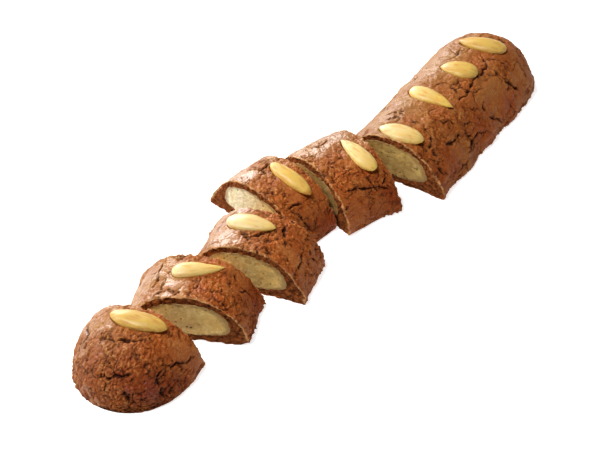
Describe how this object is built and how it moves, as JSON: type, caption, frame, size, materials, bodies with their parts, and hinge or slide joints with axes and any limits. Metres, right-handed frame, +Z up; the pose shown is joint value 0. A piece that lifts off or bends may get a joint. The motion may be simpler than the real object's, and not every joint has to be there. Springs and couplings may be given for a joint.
{
  "type": "filled speculaas bar",
  "caption": "Domed spiced biscuit bar filled with almond paste and topped with blanched almonds, partly cut into slices that lie in a loose row.",
  "frame": {"origin": "on the surface the pieces rest on, under the middle of the whole row's box", "axes": "+X runs along the row, from the cut end piece towards the uncut piece; +Z is up; +Y is across the row"},
  "size_m": [0.3197, 0.0964, 0.0279],
  "materials": {
    "baked_dough": "brown spiced crust, cracked and crumbly, with a faint satin sheen where it is smooth; leather stands in for baked dough",
    "almond_paste": "pale beige almond paste, matt and finely grained with small pits; stone stands in for almond paste",
    "blanched_almond": "smooth blanched almond, cream to golden, with fine lengthwise grooves; wood stands in for almond"
  },
  "bodies": {
    "root": {"crust_end": "baked_dough", "crust_slice_1": "baked_dough", "crust_slice_2": "baked_dough", "crust_slice_3": "baked_dough", "crust_slice_4": "baked_dough", "crust_uncut": "baked_dough", "filling_end": "almond_paste", "filling_slice_1": "almond_paste", "filling_slice_2": "almond_paste", "filling_slice_3": "almond_paste", "filling_slice_4": "almond_paste", "filling_uncut": "almond_paste", "almond_1": "blanched_almond", "almond_2": "blanched_almond", "almond_3": "blanched_almond", "almond_4": "blanched_almond", "almond_5": "blanched_almond", "almond_6": "blanched_almond", "almond_7": "blanched_almond", "almond_8": "blanched_almond", "almond_9": "blanched_almond"}
  },
  "joints": []
}
